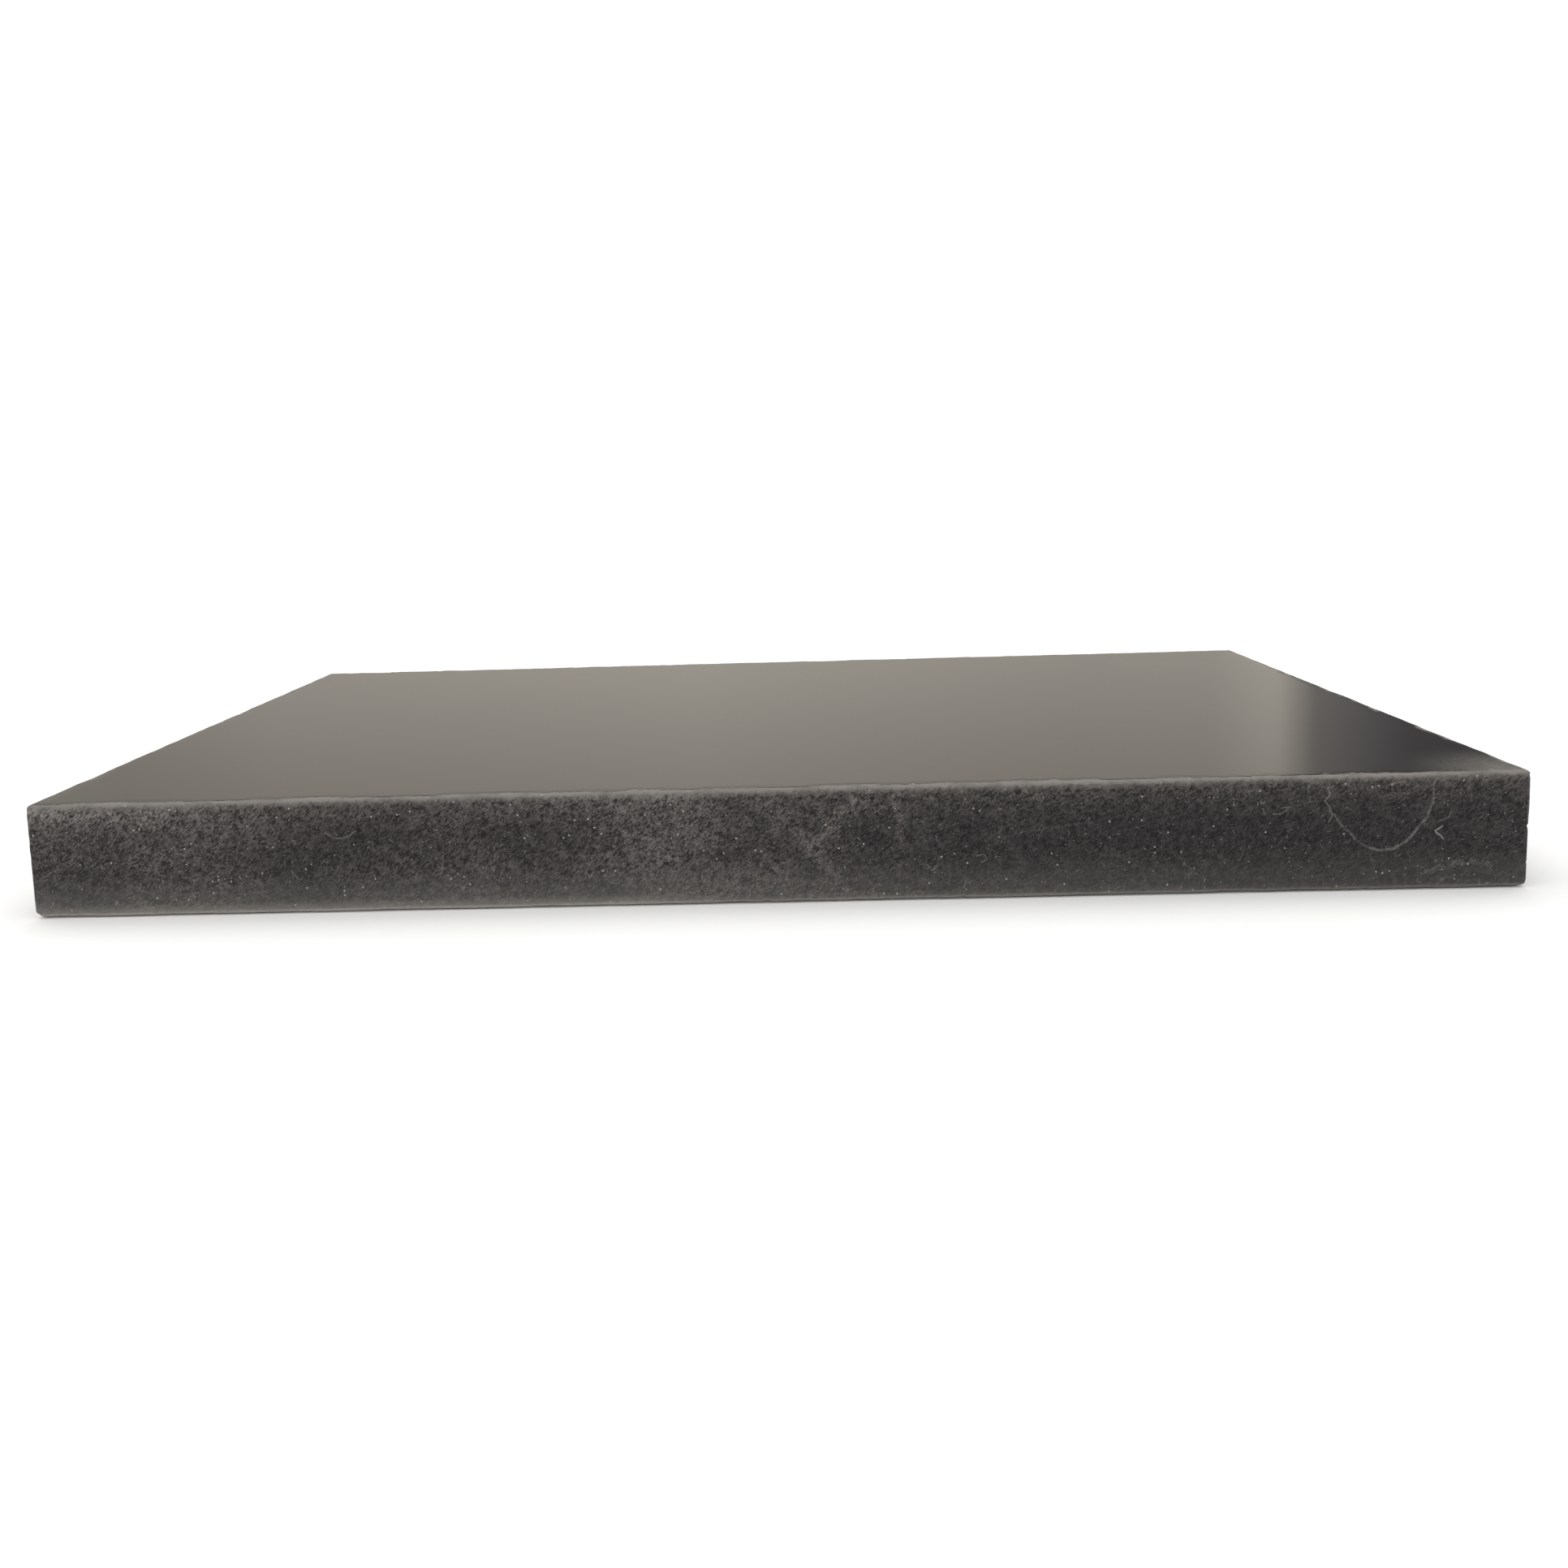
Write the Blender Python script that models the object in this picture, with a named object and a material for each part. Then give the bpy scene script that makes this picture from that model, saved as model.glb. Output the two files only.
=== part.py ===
"""Granite slab for leather tooling: one ground and polished block of black granite.

Metres, +Z up. X is the slab's long side and Y its short side. The origin is at the middle of the
underside, on the bench that the slab lies on.
"""

import bpy

# The stone, as it leaves the edge grinder.
STONE_LENGTH = 0.3048
STONE_DEPTH = 0.2032
STONE_THICKNESS = 0.0240

# Its edges are eased by hand: the top and corner ones least, the ones that meet the bench most.
TOP_ARRIS = 0.0010
CORNER_ARRIS = 0.0010
BOTTOM_ARRIS = 0.0015
ARRIS_SEGMENTS = 5

SAME_HEIGHT = 1e-6
SMOOTH_BELOW = 0.61  # radians: the rounded edges shade smoothly into the flats


def clear_scene():
    """Removes whatever the opening scene holds."""
    for old in list(bpy.data.objects):
        bpy.data.objects.remove(old, do_unlink=True)


def make_material(name, colour, roughness, metallic=0.0):
    """A Principled material of one colour."""
    material = bpy.data.materials.new(name)
    material.use_nodes = True
    shader = material.node_tree.nodes["Principled BSDF"]
    shader.inputs["Base Color"].default_value = (*colour, 1.0)
    shader.inputs["Roughness"].default_value = roughness
    shader.inputs["Metallic"].default_value = metallic
    return material


def make_block(name, length, depth, thickness, material):
    """A rectangular block centred on the Z axis, standing on Z = 0."""
    bpy.ops.mesh.primitive_cube_add(size=1.0, location=(0.0, 0.0, thickness / 2))
    block = bpy.context.active_object
    block.name = name
    block.scale = (length, depth, thickness)
    bpy.ops.object.transform_apply(location=False, rotation=False, scale=True)
    block.data.materials.append(material)
    return block


def edge_lies(mesh, edge):
    """Where an edge of a block lies: "upright", or in the "top" or "bottom" face."""
    heights = [mesh.vertices[index].co.z for index in edge.vertices]
    if abs(heights[0] - heights[1]) > SAME_HEIGHT:
        return "upright"
    return "top" if heights[0] > 0 else "bottom"


def round_edges(block, radii, segments):
    """Rounds a block's edges, each to the radius named for where it lies."""
    widest = max(radii.values())
    mesh = block.data
    weights = mesh.attributes.new("bevel_weight_edge", "FLOAT", "EDGE")
    for edge in mesh.edges:
        weights.data[edge.index].value = radii[edge_lies(mesh, edge)] / widest
    bevel = block.modifiers.new("rounded edges", "BEVEL")
    bevel.limit_method = "WEIGHT"
    bevel.offset_type = "OFFSET"
    bevel.width = widest
    bevel.segments = segments
    bevel.use_clamp_overlap = False


def make_granite_slab():
    """The stone: one block, polished on top, with its edges eased all round."""
    granite = make_material("black_granite", colour=(0.045, 0.043, 0.042), roughness=0.35)
    slab = make_block("granite_slab", STONE_LENGTH, STONE_DEPTH, STONE_THICKNESS, granite)
    radii = {"top": TOP_ARRIS, "upright": CORNER_ARRIS, "bottom": BOTTOM_ARRIS}
    round_edges(slab, radii, ARRIS_SEGMENTS)
    slab.data.shade_smooth()
    slab.data.set_sharp_from_angle(angle=SMOOTH_BELOW)


clear_scene()
make_granite_slab()
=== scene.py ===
import math

import bpy
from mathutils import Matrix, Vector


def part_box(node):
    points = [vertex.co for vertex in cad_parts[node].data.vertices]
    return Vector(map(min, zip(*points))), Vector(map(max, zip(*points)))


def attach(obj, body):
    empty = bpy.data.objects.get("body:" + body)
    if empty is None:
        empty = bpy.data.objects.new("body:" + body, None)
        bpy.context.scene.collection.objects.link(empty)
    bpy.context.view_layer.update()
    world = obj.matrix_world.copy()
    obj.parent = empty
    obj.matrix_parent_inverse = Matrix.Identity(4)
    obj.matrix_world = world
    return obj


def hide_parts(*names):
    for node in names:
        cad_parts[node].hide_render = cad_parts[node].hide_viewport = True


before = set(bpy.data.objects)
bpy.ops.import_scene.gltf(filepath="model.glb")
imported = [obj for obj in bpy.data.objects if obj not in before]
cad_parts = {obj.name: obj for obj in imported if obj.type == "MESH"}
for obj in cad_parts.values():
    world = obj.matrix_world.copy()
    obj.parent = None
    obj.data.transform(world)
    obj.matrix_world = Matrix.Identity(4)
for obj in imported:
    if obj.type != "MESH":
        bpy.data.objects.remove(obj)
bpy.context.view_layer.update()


# The slab: one block of fine black granite, squared with a bridge saw and polished on top by
# machine. Its edges were eased by hand with a diamond pad, so the rounding wanders a little and
# has small chips, and one bench corner is knocked off. It is a single piece, with nothing fixed to it.

LOW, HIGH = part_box("granite_slab")
SIZE = HIGH - LOW
MIDDLE = (LOW + HIGH) / 2

TOP_EASE = 0.0010
CORNER_EASE = 0.0010
BOTTOM_EASE = 0.0015
EASE_STEPS = 5
WORKED_MARGIN = 0.0030  # how far in from an edge its easing and chips reach
MARGIN_CUTS = 4
STEP_ALONG_EDGE = 0.0006
NEAR = 1e-5

bpy.ops.object.select_all(action="DESELECT")
bpy.ops.mesh.primitive_cube_add(size=1.0, location=MIDDLE)
stone = bpy.context.active_object
stone.name = "polished_stone"
stone.scale = SIZE
bpy.ops.object.transform_apply(location=True, rotation=True, scale=True)
block = stone.data

# The easing is one rounding pass: least on top and at the corners, most where it meets the bench.
eased = block.attributes.new("bevel_weight_edge", "FLOAT", "EDGE")
for edge in block.edges:
    heights = [block.vertices[index].co.z for index in edge.vertices]
    if abs(heights[0] - heights[1]) > NEAR:
        radius = CORNER_EASE
    elif heights[0] > MIDDLE.z:
        radius = TOP_EASE
    else:
        radius = BOTTOM_EASE
    eased.data[edge.index].value = radius / BOTTOM_EASE
easing = stone.modifiers.new("easing", "BEVEL")
easing.limit_method = "WEIGHT"
easing.width = BOTTOM_EASE
easing.segments = EASE_STEPS
bpy.ops.object.modifier_apply(modifier=easing.name)


def select_edges(wanted):
    """Selects, in edit mode, the edges of the block whose two ends pass a test."""
    bpy.ops.mesh.select_all(action="DESELECT")
    bpy.ops.object.mode_set(mode="OBJECT")
    for edge in block.edges:
        start, end = (block.vertices[index].co for index in edge.vertices)
        edge.select = wanted(start, end)
    bpy.ops.object.mode_set(mode="EDIT")


# The six flats are lifted out while the margins round them take a finer mesh, then closed again.
SMALLEST_FLAT = 0.5 * SIZE.y * SIZE.z
for face in block.polygons:
    face.select = face.area > SMALLEST_FLAT
bpy.ops.object.mode_set(mode="EDIT")
bpy.ops.mesh.select_mode(type="FACE")
bpy.ops.mesh.inset(thickness=WORKED_MARGIN, depth=0.0, use_individual=True)
bpy.ops.mesh.delete(type="ONLY_FACE")
bpy.ops.mesh.select_mode(type="EDGE")
for axis in range(3):
    select_edges(lambda start, end: abs(start[axis] - end[axis]) > 0.5 * SIZE[axis])
    bpy.ops.mesh.subdivide(number_cuts=round(SIZE[axis] / STEP_ALONG_EDGE))
select_edges(lambda start, end: 0.8 * WORKED_MARGIN < (start - end).length < 1.5 * WORKED_MARGIN)
bpy.ops.mesh.subdivide(number_cuts=MARGIN_CUTS)
for axis in range(3):
    for level in (LOW[axis], HIGH[axis]):
        bpy.ops.mesh.select_all(action="DESELECT")
        bpy.ops.mesh.select_non_manifold(extend=False)
        bpy.ops.object.mode_set(mode="OBJECT")
        rim = {edge.index for edge in block.edges if edge.select}
        bpy.ops.object.mode_set(mode="EDIT")
        select_edges(lambda start, end: max(abs(start[axis] - level), abs(end[axis] - level)) < NEAR)
        bpy.ops.object.mode_set(mode="OBJECT")
        for edge in block.edges:
            edge.select = edge.select and edge.index in rim
        bpy.ops.object.mode_set(mode="EDIT")
        bpy.ops.mesh.edge_face_add()
bpy.ops.mesh.select_all(action="SELECT")
bpy.ops.mesh.normals_make_consistent(inside=False)
bpy.ops.object.mode_set(mode="OBJECT")

# Wear is taken off the edges, and fades out across their margins, so the flats stay true.
WORKED = "hand_worked"
hand_worked = stone.vertex_groups.new(name=WORKED)
for vertex in block.vertices:
    gaps = sorted(min(vertex.co[axis] - LOW[axis], HIGH[axis] - vertex.co[axis]) for axis in range(3))
    reach = max(0.0, min(1.0, 1.25 * (1.0 - gaps[1] / WORKED_MARGIN)))
    hand_worked.add([vertex.index], reach, "REPLACE")


def grind_away(name, grain, deepest, starts, full):
    """Takes stone off the worked edges, where a cloudy pattern rises past a level."""
    pattern = bpy.data.textures.new(name, "CLOUDS")
    pattern.noise_scale = grain
    pattern.noise_depth = 2
    pattern.use_color_ramp = True
    stops = pattern.color_ramp.elements
    stops[0].position, stops[0].color = starts, (0.0, 0.0, 0.0, 1.0)
    stops[1].position, stops[1].color = full, (1.0, 1.0, 1.0, 1.0)
    wear = stone.modifiers.new(name, "DISPLACE")
    wear.texture = pattern
    wear.texture_coords = "LOCAL"
    wear.mid_level = 0.0
    wear.strength = -deepest
    wear.vertex_group = WORKED
    bpy.ops.object.modifier_apply(modifier=wear.name)


grind_away("wandering pad", grain=0.011, deepest=0.00018, starts=0.35, full=0.75)
grind_away("pad chatter", grain=0.0019, deepest=0.00007, starts=0.45, full=0.80)
grind_away("small chips", grain=0.0024, deepest=0.00024, starts=0.69, full=0.80)

# The left front corner has lost a flake to the bench: a flat cut across it.
FLAKE_FACING = (-0.55, -0.35, -0.76)
FLAKE_DEPTH = 0.00135  # from where the sharp corner would be
SMOOTH_UP_TO = 35.0
bpy.ops.object.mode_set(mode="EDIT")
bpy.ops.mesh.select_all(action="SELECT")
flake_middle = [LOW[axis] - FLAKE_DEPTH * FLAKE_FACING[axis] for axis in range(3)]
bpy.ops.mesh.bisect(plane_co=flake_middle, plane_no=FLAKE_FACING, use_fill=True, clear_outer=True)
bpy.ops.mesh.select_all(action="DESELECT")
bpy.ops.object.mode_set(mode="OBJECT")
bpy.ops.object.shade_smooth_by_angle(angle=math.radians(SMOOTH_UP_TO))

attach(stone, "root")
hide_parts("granite_slab")


# The finish of the slab: polished on top, honed on the sides, left from the saw underneath. The
# pad leaves the eased edges grey and matt, and they hold dust, as the sides do; the band along the
# bench edge is paler still with a painted reflection of the floor. Lint and a dried ring of water
# lie on the front. It is one material, because it is all the same stone.

MM = 1000.0

granite = bpy.data.materials.new("black_granite")
granite.use_nodes = True


class Field:
    """A value or colour that varies over a surface: a node's socket, with Python's arithmetic."""

    tree = granite.node_tree

    def __init__(self, socket):
        self.socket = socket

    @classmethod
    def node(cls, kind, settings=None, inputs=None, output=0):
        """Adds a node, sets it, then fills or links its sockets."""
        made = cls.tree.nodes.new(kind)
        for name, value in (settings or {}).items():
            if name == "stops":
                ramp = made.color_ramp.elements
                ramp.remove(ramp[0])
                ramp[0].position = value[0][0]
                for position, _ in value[1:]:
                    ramp.new(position)
                for stop, (_, grey) in zip(ramp, value):
                    stop.color = (grey, grey, grey, 1.0)
            else:
                setattr(made, name, value)
        for name, value in (inputs or {}).items():
            if isinstance(value, Field):
                cls.tree.links.new(value.socket, made.inputs[name])
            else:
                made.inputs[name].default_value = value
        return None if output is None else Field(made.outputs[output])

    def beside(self, output):
        """Another output of the node that this one comes from."""
        return Field(self.socket.node.outputs[output])

    def math(self, operation, *others):
        """One Math node on this value and the others."""
        return Field.node("ShaderNodeMath", {"operation": operation}, dict(enumerate((self, *others))))

    def __add__(self, other):
        return self.math("ADD", other)

    def __sub__(self, other):
        return self.math("SUBTRACT", other)

    def __rsub__(self, other):
        return Field.node("ShaderNodeMath", {"operation": "SUBTRACT"}, {0: other, 1: self})

    def __mul__(self, other):
        return self.math("MULTIPLY", other)

    def __truediv__(self, other):
        return self.math("DIVIDE", other)

    def __pow__(self, other):
        return self.math("POWER", other)

    def __abs__(self):
        return self.math("ABSOLUTE")

    __radd__ = __add__
    __rmul__ = __mul__

    def rise(self, start, end):
        """0 up to start, 1 from end on, smooth between. With end below start it falls instead."""
        inputs = {"Value": self, "From Min": start, "From Max": end}
        if end < start:
            inputs.update({"From Min": end, "From Max": start, "To Min": 1.0, "To Max": 0.0})
        return Field.node("ShaderNodeMapRange", {"interpolation_type": "SMOOTHSTEP"}, inputs)

    def least(self, other):
        return self.math("MINIMUM", other)

    def most(self, other):
        return self.math("MAXIMUM", other)

    def over(self, below, colour):
        """Lays a colour over the one below, as thickly as this value says."""
        return Field.node("ShaderNodeMix", {"data_type": "RGBA"}, {0: self, 6: below, 7: colour}, 2)


place = Field.node("ShaderNodeTexCoord", output="Object")
x, y, z = (Field.node("ShaderNodeSeparateXYZ", None, {0: place}, axis) * MM for axis in range(3))
from_top = HIGH.z * MM - z
from_bottom = z - LOW.z * MM
from_front = y - LOW.y * MM
from_back = HIGH.y * MM - y
from_left = x - LOW.x * MM
from_right = HIGH.x * MM - x


def cloud(width, detail=2.0, roughness=0.5, stretch=(1.0, 1.0, 1.0), lean=0.0):
    """Soft noise from 0 to 1. Its patches are so many mm wide, stretched, and leant to the right."""
    turn = (0.0, math.radians(lean), 0.0)
    turned = {"Vector": place, "Rotation": turn, "Scale": stretch}
    mapped = Field.node("ShaderNodeMapping", {"vector_type": "TEXTURE"}, turned)
    inputs = {"Vector": mapped, "Scale": MM / width, "Detail": detail, "Roughness": roughness}
    return Field.node("ShaderNodeTexNoise", None, inputs)


# Crystals: feldspar, paler than the dark pyroxene round it, in grains of about half a mm that
# gather in clumps and lie a little aslant, as they settled in the melt.
BLACK = (0.0108, 0.0097, 0.0102, 1.0)
FELDSPAR = (0.0460, 0.0424, 0.0418, 1.0)
POLISHED_BLACK = (0.0080, 0.0076, 0.0074, 1.0)

grain = cloud(0.46, detail=3.0, roughness=0.65) * 0.42
grain = grain + cloud(0.42, detail=1.0, stretch=(1.0, 1.0, 2.6), lean=50.0) * 0.33
grain = grain + cloud(1.4, detail=2.0) * 0.25
crystals = grain.rise(0.38, 0.68)

ragged = cloud(1.1, detail=3.0, roughness=0.6)
is_polished = (from_top + ragged * 0.10).rise(0.16, 0.09)
is_honed = 1.0 - is_polished
is_front = from_front.rise(0.9, 0.4)

colour = crystals.over(BLACK, FELDSPAR)
colour = (is_polished * 0.97).over(colour, POLISHED_BLACK)

# Dust on the honed sides, as a share of full cover. It is thickest at the left end, in the middle
# and close under the top edge, and it clings to the paler crystals.
DUST = (0.242, 0.222, 0.208, 1.0)
SMEARS = (  # from one point on the front to another, in mm across and up, then width and share
    ((20, 23), (8, 11), 2.4, 0.20),
    ((26, 23), (27, 13), 2.0, 0.17),
    ((1, 21), (14, 5), 2.2, 0.10),
    ((-2, 23.5), (2, 14), 3.2, 0.11),
    ((-92, 8), (-24, 9), 4.0, 0.05),
    ((-119, 23), (-111, 16), 1.8, 0.12),
    ((-158, 22.5), (-122, 21), 3.2, 0.22),
    ((54, 14), (73, 16.5), 0.7, 0.06),
)

drift = cloud(24.0, detail=3.0, stretch=(1.3, 1.0, 0.7))
wisps = cloud(7.0, detail=4.0, roughness=0.6, stretch=(1.4, 1.0, 0.8))
patchy = drift.rise(0.32, 0.68) * 0.9 + wisps.rise(0.35, 0.65) * 0.6 + 0.25
everywhere = x.rise(110.0, -40.0) * 0.060 + 0.018
left_end = x.rise(-95.0, -135.0) * 0.050
middle = abs(x + 12.0).rise(40.0, 5.0) * 0.075
under_top = (from_top + wisps * 3.0).rise(10.5, 0.5) * 0.13


def smear(start, end, width, share):
    """Dust dragged along a line on the front."""
    run = (end[0] - start[0], end[1] - start[1])
    length = math.hypot(*run)
    along_x, along_z = run[0] / length, run[1] / length
    across = abs((x - start[0]) * -along_z + (z - start[1]) * along_x)
    along = (x - start[0]) * along_x + (z - start[1]) * along_z
    ends = along.rise(-width, width) * along.rise(length + width, length - width)
    return (across + wisps * (1.6 * width)).rise(1.9 * width, 0.5 * width) * ends * share


side_dust = (everywhere + left_end + middle) * patchy + under_top
for values in SMEARS:
    side_dust = side_dust + smear(*values) * is_front
grip = grain.rise(0.36, 0.70) * 2.3
side_dust = side_dust * grip * is_honed
colour = side_dust.least(0.9).over(colour, DUST)

# The eased edges, ground matt: a ragged narrow band on top, and a broad one on the bench side
# that fades upwards and to the right, which is dust on the ground stone and partly a painted
# reflection of the pale floor. Each has a paler line close to the edge, the lower one a painted
# highlight where the rounding turns down to the floor, and the upright corners are bruised in places.
GROUND_EDGE = (0.205, 0.190, 0.175, 1.0)
BENCH_DUST_AND_FLOOR_SHEEN = (0.460, 0.440, 0.405, 1.0)

broken = cloud(5.0, detail=3.0)
top_band = (from_top + ragged * 2.0 + broken * 0.8).rise(3.5, 1.5)
top_line = (from_top + ragged * 0.6).rise(1.4, 0.6)
top_band = (top_band * 0.88 + top_line * 0.44) * (broken.rise(0.30, 0.60) * 0.28 + 0.50)
rightward = x.rise(-32.0, 2.0) * 0.28 + x.rise(30.0, 140.0) * 0.17
# Dust along the bench edge, partly a painted reflection of the pale floor below it.
lower_band_dust_and_sheen = (from_bottom + ragged * 0.8 + rightward * 2.2).rise(3.6, -0.2) * 0.34
upward_fade_dust_and_sheen = (from_bottom + wisps * 3.0).rise(12.0, 1.5) * 0.12
# A painted highlight: a paler line where the bottom rounding turns down to the floor.
bench_painted_highlight = (from_bottom + ragged * 0.5).rise(1.5, 0.6) * 0.34
bench_dust_and_painted_sheen = (lower_band_dust_and_sheen + upward_fade_dust_and_sheen + bench_painted_highlight) * (1.0 - rightward)
at_corner = from_front.least(from_back).most(from_left.least(from_right))
bruises = at_corner.rise(0.9, 0.4) * broken.rise(0.52, 0.66) * 0.5
ground = top_band.most(bruises) * is_honed
edges = ground.most(bench_dust_and_painted_sheen)
colour = ground.over(colour, GROUND_EDGE)
# The bench band's colour: dust and a painted reflection of the floor.
colour = bench_dust_and_painted_sheen.over(colour, BENCH_DUST_AND_FLOOR_SHEEN)

# Lint, motes and the ring that a drop of water left. Points are mm across and up the front.
LINT = (0.480, 0.455, 0.415, 1.0)
SWAY = 0.9  # how far a fibre strays from its points
WATER_RING = (
    (112.6, 17.0), (114.8, 13.8), (117.8, 10.8), (120.3, 9.0), (122.7, 8.3), (125.3, 8.6),
    (128.0, 10.2), (130.2, 12.7), (131.7, 14.8), (132.9, 18.0), (133.3, 22.5),
)
CURLED_HAIR = (
    (113.4, 21.9), (111.9, 21.4), (112.5, 20.3), (111.6, 18.8), (112.6, 17.6), (113.2, 15.9),
    (112.4, 14.3),
)
BENT_FIBRE = ((134.9, 13.0), (133.7, 12.1), (135.2, 10.5))
DUSTY_ARCH = ((132.2, 3.7), (135.9, 5.2), (140.7, 5.8), (143.9, 5.5), (145.2, 4.2))
FIBRES = (
    ((101.3, 16.2), (103.1, 16.4), (104.8, 17.6), (102.9, 17.5)),
    ((123.5, 21.4), (125.3, 22.1), (127.5, 22.2)),
    ((136.7, 15.9), (136.2, 14.8), (134.3, 14.1)),
    ((42.2, 9.2), (43.6, 9.4), (44.2, 8.2), (43.0, 7.5)),
    ((32.0, 7.4), (33.0, 6.2), (34.0, 7.2)),
    ((-21.2, 10.2), (-20.2, 11.6), (-19.2, 10.8)),
    ((-30.0, 21.4), (-28.8, 20.3), (-27.6, 21.6)),
    ((-90.6, 17.0), (-89.1, 15.6), (-87.1, 15.7), (-85.4, 16.3), (-84.1, 17.1)),
    ((-97.7, 8.8), (-97.3, 7.8), (-96.7, 7.4)),
)

swaying = Field.node("ShaderNodeTexNoise", None, {"Vector": place, "Scale": MM / 2.4}, "Color")
on_front = Field.node("ShaderNodeCombineXYZ", None, {"X": x - SWAY / 2, "Z": z - SWAY / 2})
strays = {0: swaying, 1: (SWAY, 0.0, SWAY), 2: on_front}
strayed = Field.node("ShaderNodeVectorMath", {"operation": "MULTIPLY_ADD"}, strays)


def strand(points, width, strength):
    """A fine line on the front through the points given, which strays a little from them."""
    nearest = None
    for start, end in zip(points, points[1:]):
        run = (end[0] - start[0], 0.0, end[1] - start[1])
        length_squared = run[0] ** 2 + run[2] ** 2
        begin = {0: strayed, 1: (start[0], 0.0, start[1])}
        offset = Field.node("ShaderNodeVectorMath", {"operation": "SUBTRACT"}, begin)
        onto_run = {0: offset, 1: run}
        along = Field.node("ShaderNodeVectorMath", {"operation": "DOT_PRODUCT"}, onto_run, "Value")
        share = (along / length_squared).most(0.0).least(1.0)
        foot = Field.node("ShaderNodeVectorMath", {"operation": "SCALE"}, {0: run, "Scale": share})
        to_foot = {0: offset, 1: foot}
        gap = Field.node("ShaderNodeVectorMath", {"operation": "DISTANCE"}, to_foot, "Value")
        nearest = gap if nearest is None else nearest.least(gap)
    return nearest.rise(width, 0.3 * width) * strength


powder = grain.rise(0.40, 0.58)
ring = strand(WATER_RING, width=0.42, strength=0.18) * (powder * 0.6 + 0.4)
marks = ring * (x.rise(118.0, 126.0) * 0.35 + 0.65)
marks = marks.most(strand(CURLED_HAIR, width=0.22, strength=0.15))
marks = marks.most(strand(BENT_FIBRE, width=0.18, strength=0.38))
marks = marks.most(strand(DUSTY_ARCH, width=0.9, strength=0.08) * powder)
for points in FIBRES:
    marks = marks.most(strand(points, width=0.21, strength=0.13))
marks = marks * is_front


def motes(spacing, radius, share, strength):
    """Scattered round specks: one in each cell of a grid, for the share of the cells given."""
    cells = {"Vector": place, "Scale": MM / spacing, "Randomness": 1.0}
    gap = Field.node("ShaderNodeTexVoronoi", None, cells, "Distance")
    drawn = Field.node("ShaderNodeSeparateColor", None, {0: gap.beside("Color")})
    spot = gap.rise(radius / spacing, 0.4 * radius / spacing)
    return spot * drawn.rise(1.0 - share, 1.01 - share) * strength


# Short loose fibres lie here and there on every side: bits of the level lines of a soft noise.
loose_lint = abs(cloud(3.2, detail=1.0) - 0.5).rise(0.014, 0.005) * cloud(2.0, detail=1.0).rise(0.60, 0.66)
coarse_specks = motes(spacing=1.3, radius=0.22, share=0.17, strength=0.90)
fine_specks = motes(spacing=0.8, radius=0.15, share=0.18, strength=0.50)
specks = coarse_specks.most(fine_specks)
marks = marks.most(specks.most(loose_lint * 0.16) * is_honed)

# The polished top carries a thin dull film from wiping, and dust in one front corner.
wiped = cloud(30.0, detail=3.0, roughness=0.55, stretch=(1.0, 2.5, 1.0))
strokes = cloud(4.0, detail=2.0, stretch=(0.8, 7.0, 1.0)).rise(0.40, 0.66) * from_front.rise(75.0, 5.0)
corner = ((from_right ** 2.0 + from_front ** 2.0) ** 0.5 + wisps * 4.0 - 2.0).rise(28.0, 2.0)
top_specks = motes(spacing=1.4, radius=0.20, share=0.12, strength=0.55) * from_front.rise(30.0, 3.0)
corner_dust = corner * (powder * 0.4 + 0.8) * 0.35
film = corner_dust + strokes * 0.008 + wiped.rise(0.45, 0.75) * 0.010
marks = marks.most((film + top_specks) * is_polished)
colour = marks.least(0.95).over(colour, LINT)

# The underside: paler where the blade has bruised the stone, with its shallow arcs.
SAWN_GREY = (0.105, 0.103, 0.099, 1.0)
BLADE_CENTRE = (-210.0, -60.0)
BLADE_STEP = 3.4  # how far the blade moved on between two of its marks, in mm

is_sawn = from_bottom.rise(0.10, 0.02)
blade_reach = ((x - BLADE_CENTRE[0]) ** 2.0 + (y - BLADE_CENTRE[1]) ** 2.0) ** 0.5
saw_arcs = ((blade_reach + wisps * 1.5) * (2.0 * math.pi / BLADE_STEP)).math("SINE") * 0.5 + 0.5
saw_lines = saw_arcs * (drift.rise(0.35, 0.62) * 0.5 + 0.2) + ragged * 0.4
sawn = (saw_lines * 0.5).over(SAWN_GREY, FELDSPAR)
colour = (is_sawn * 0.9).over(colour, sawn)

STONE_IOR = 1.22
POLISH_IOR = 1.40
POLISH_ROUGHNESS = 0.08
BUMP_STRENGTH = 0.6
BUMP_HEIGHT = 0.00003

rough_side = 0.50 + crystals * 0.10 + side_dust * 0.25 + edges * 0.15 + is_sawn * 0.15
rough_top = 0.09 + wiped.rise(0.40, 0.75) * 0.04 + film * 0.9
roughness = rough_side + (rough_top - rough_side) * is_polished

relief = grain * (0.8 * is_honed + 0.01) + ragged * edges * 1.5 + saw_lines * is_sawn * 3.0
bumpy = {"Strength": BUMP_STRENGTH, "Distance": BUMP_HEIGHT, "Height": relief}
bump = Field.node("ShaderNodeBump", None, bumpy)
gloss = is_polished * (1.0 - film * 2.0).most(0.0)

shader = granite.node_tree.nodes["Principled BSDF"]
varying = {"Base Color": colour, "Roughness": roughness, "Coat Weight": gloss, "Normal": bump}
for name, value in varying.items():
    granite.node_tree.links.new(value.socket, shader.inputs[name])
shader.inputs["IOR"].default_value = STONE_IOR
shader.inputs["Coat IOR"].default_value = POLISH_IOR
shader.inputs["Coat Roughness"].default_value = POLISH_ROUGHNESS
stone.data.materials.clear()
stone.data.materials.append(granite)


# The studio: a plain pale floor, one broad soft light overhead and pale air all round. Grey walls
# that only gloss can see give the polish something to mirror: a plain room with one dark doorway.

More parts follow.
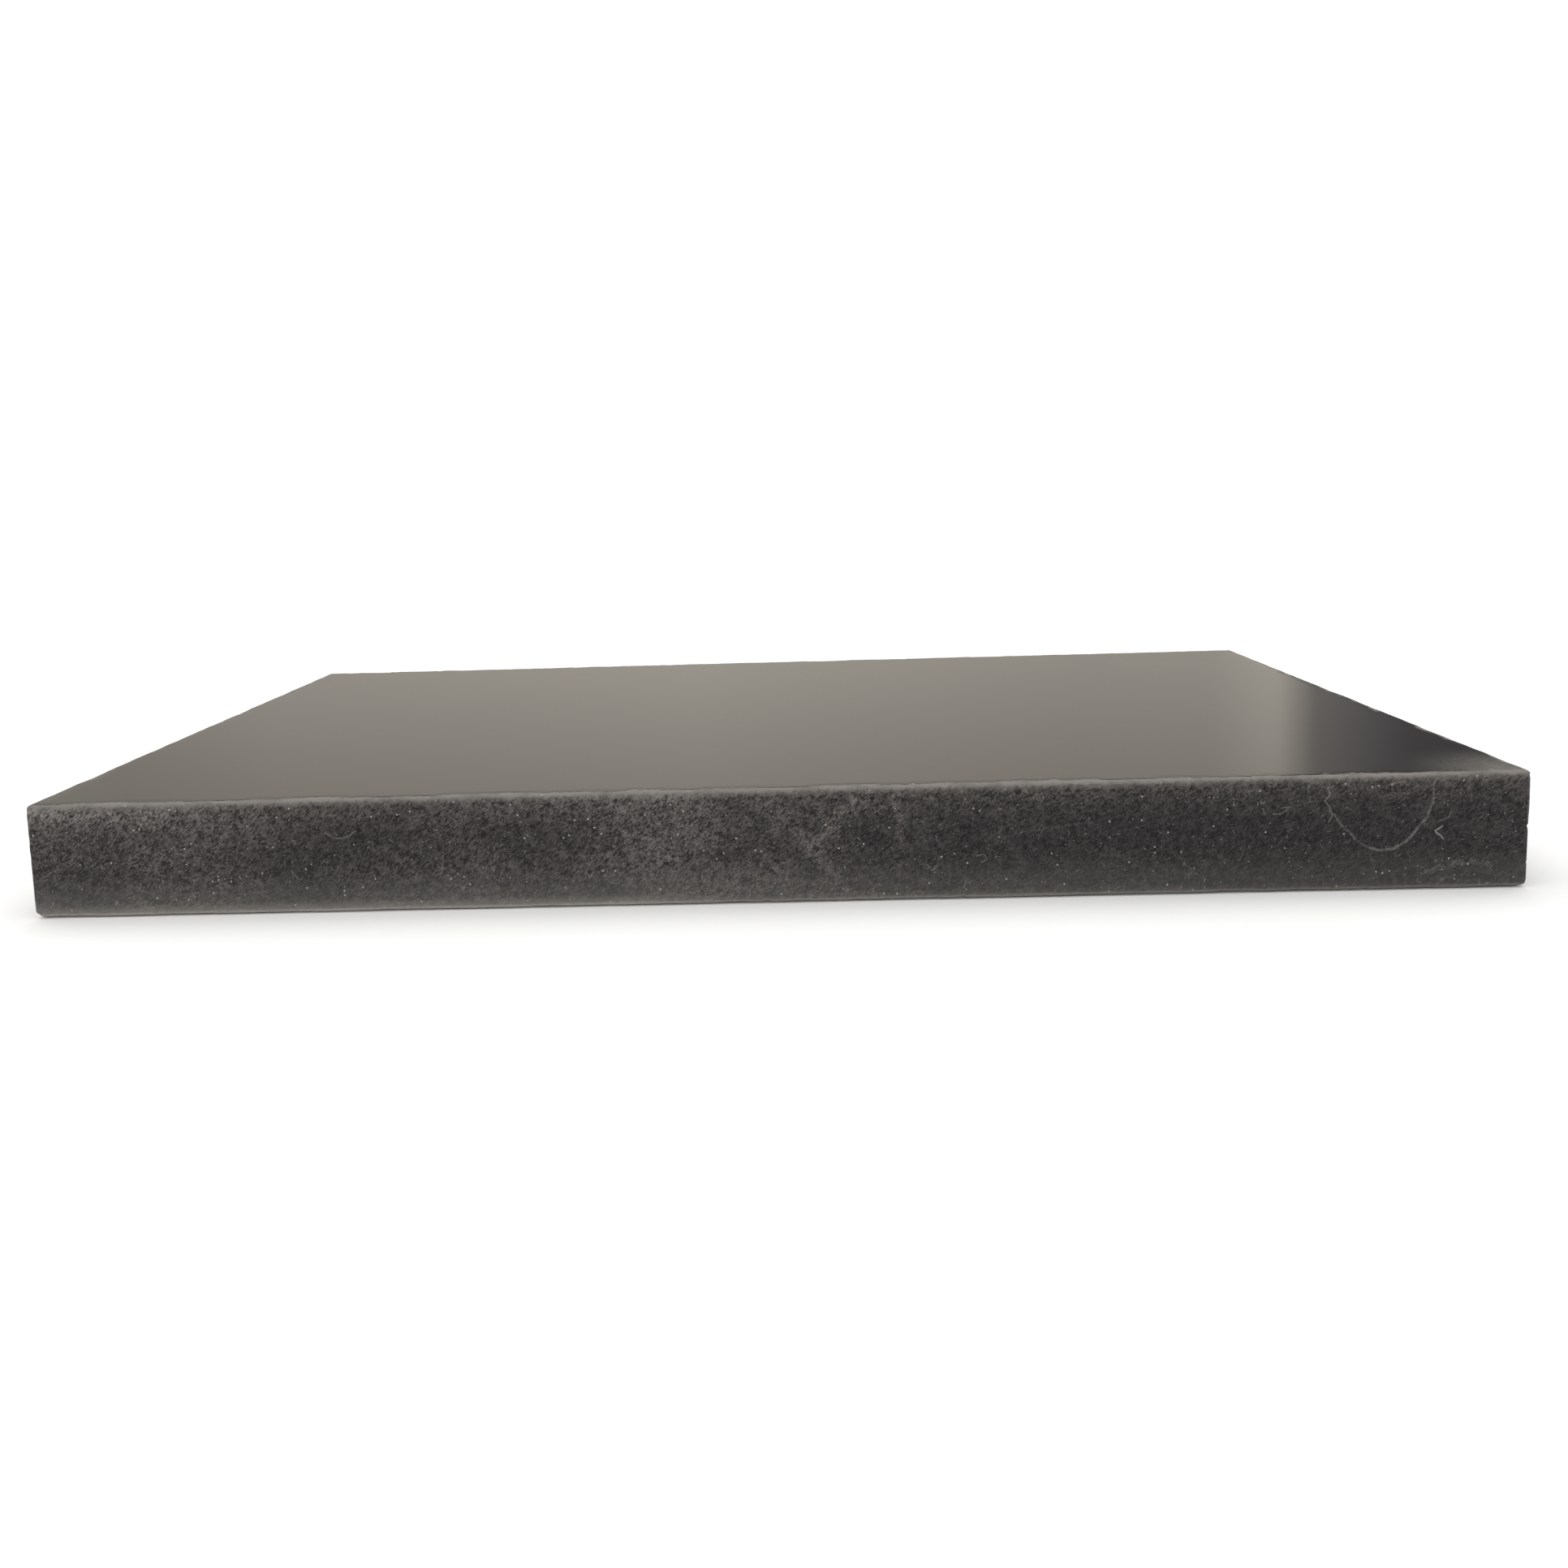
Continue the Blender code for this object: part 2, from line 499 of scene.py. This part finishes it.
FLOOR_WIDTH = 60.0
FLOOR_GAP = 0.0001
PAPER = (0.95, 0.95, 0.945, 1.0)
PAPER_ROUGHNESS = 0.9

bpy.ops.object.select_all(action="DESELECT")
bpy.ops.mesh.primitive_plane_add(size=FLOOR_WIDTH, location=(0.0, 0.0, LOW.z - FLOOR_GAP))
floor = bpy.context.active_object
floor.name = "floor"
paper = bpy.data.materials.new("pale_paper")
paper.use_nodes = True
paper.node_tree.nodes["Principled BSDF"].inputs["Base Color"].default_value = PAPER
paper.node_tree.nodes["Principled BSDF"].inputs["Roughness"].default_value = PAPER_ROUGHNESS
floor.data.materials.append(paper)

AIR_COLOUR = (1.0, 1.0, 1.0, 1.0)
AIR_STRENGTH = 1.06
ROOM_HALF = 1.60
ROOM_HEIGHT = 2.60
PALING_STARTS = 0.35  # share of the height from which the walls pale, to meet the air without a line
WALL_DISTANCE = 1.15
WALL_COLOUR = (1.0, 0.925, 0.815, 1.0)
SHADE_COLOUR = (0.95, 0.90, 0.90, 1.0)
UNLIT = (0.0, 0.0, 0.0, 1.0)
WALL_TONE = 0.43
SHADE_UP_TO = 0.08  # darker tones than this have the colour of shade
WARM_FROM = 0.32  # paler tones than this have the colour of the walls
SEAM = 0.01
BACK_WALL_TONES = (  # metres to the right, and how bright: a lit jamb at 0.51, then the dark doorway
    (-1.60, 0.43), (-0.72, 0.325), (-0.55, 0.39), (-0.10, 0.455), (0.30, 0.396), (0.44, 0.396),
    (0.51, 0.482), (0.55, 0.202), (0.65, 0.086), (1.10, 0.03), (1.30, 0.35), (1.60, 0.43),
)

bpy.ops.object.select_all(action="DESELECT")
bpy.ops.mesh.primitive_cylinder_add(
    vertices=4, radius=ROOM_HALF * math.sqrt(2.0), depth=ROOM_HEIGHT, end_fill_type="NOTHING",
    location=(0.0, WALL_DISTANCE - ROOM_HALF, ROOM_HEIGHT / 2), rotation=(0.0, 0.0, math.radians(45.0)),
)
room = bpy.context.active_object
room.name = "grey_room"
bpy.ops.object.transform_apply(location=True, rotation=True, scale=True)
room.visible_camera = False
room.visible_diffuse = False
room.visible_shadow = False
room.visible_transmission = False

glow = bpy.data.materials.new("wall_glow")
glow.use_nodes = True
glow.node_tree.nodes.clear()
Field.tree = glow.node_tree
in_room = Field.node("ShaderNodeTexCoord", output="Object")
across, along, up = (Field.node("ShaderNodeSeparateXYZ", None, {0: in_room}, axis) for axis in range(3))
stops = [(right / (2 * ROOM_HALF) + 0.5, tone) for right, tone in BACK_WALL_TONES]
doorway = Field.node("ShaderNodeValToRGB", {"stops": stops}, {0: across / (2 * ROOM_HALF) + 0.5})
on_back_wall = along.rise(WALL_DISTANCE - 2 * SEAM, WALL_DISTANCE - SEAM)
towards_air = up.rise(PALING_STARTS * ROOM_HEIGHT, ROOM_HEIGHT)
wall = (doorway - WALL_TONE) * on_back_wall + WALL_TONE
tint = wall.rise(SHADE_UP_TO, WARM_FROM).over(SHADE_COLOUR, WALL_COLOUR)
tint = towards_air.over(tint, AIR_COLOUR)
wall = (wall + (AIR_STRENGTH - wall) * towards_air) / AIR_STRENGTH
lit = {"Color": wall.over(UNLIT, tint), "Strength": AIR_STRENGTH}
shine = Field.node("ShaderNodeEmission", None, lit)
Field.node("ShaderNodeOutputMaterial", None, {"Surface": shine}, None)
room.data.materials.append(glow)

SOFTBOX_PLACE = (-0.35, 0.10, 1.60)
SOFTBOX_WIDTH = 1.8
SOFTBOX_WATTS = 7.0
SOFTBOX_COLOUR = (1.0, 0.985, 0.96)

bpy.ops.object.light_add(type="AREA", location=SOFTBOX_PLACE)
softbox = bpy.context.active_object
softbox.data.shape = "DISK"
softbox.data.size = SOFTBOX_WIDTH
softbox.data.energy = SOFTBOX_WATTS
softbox.data.color = SOFTBOX_COLOUR
softbox.visible_glossy = False

scene = bpy.context.scene
scene.view_settings.view_transform = "Standard"
air = bpy.data.worlds.new("pale_air")
air.use_nodes = True
air.node_tree.nodes["Background"].inputs["Color"].default_value = AIR_COLOUR
air.node_tree.nodes["Background"].inputs["Strength"].default_value = AIR_STRENGTH
scene.world = air


# The camera stands low in front of the slab, a little to the right of its middle, and looks
# slightly down at it. Its shift sets the slab in the frame.

CAMERA_PLACE = (0.0064, -0.3942, 0.0868)
CAMERA_TURN = (82.49, 1.71, 1.52)
CAMERA_LENS = 33.93
CAMERA_SENSOR = 36.0
CAMERA_SHIFT = (0.0213, -0.0729)
NEAREST_SEEN = 0.01

bpy.ops.object.camera_add(location=CAMERA_PLACE, rotation=[math.radians(turn) for turn in CAMERA_TURN])
camera = bpy.context.active_object
camera.data.sensor_width = CAMERA_SENSOR
camera.data.lens = CAMERA_LENS
camera.data.shift_x, camera.data.shift_y = CAMERA_SHIFT
camera.data.clip_start = NEAREST_SEEN
scene.camera = camera
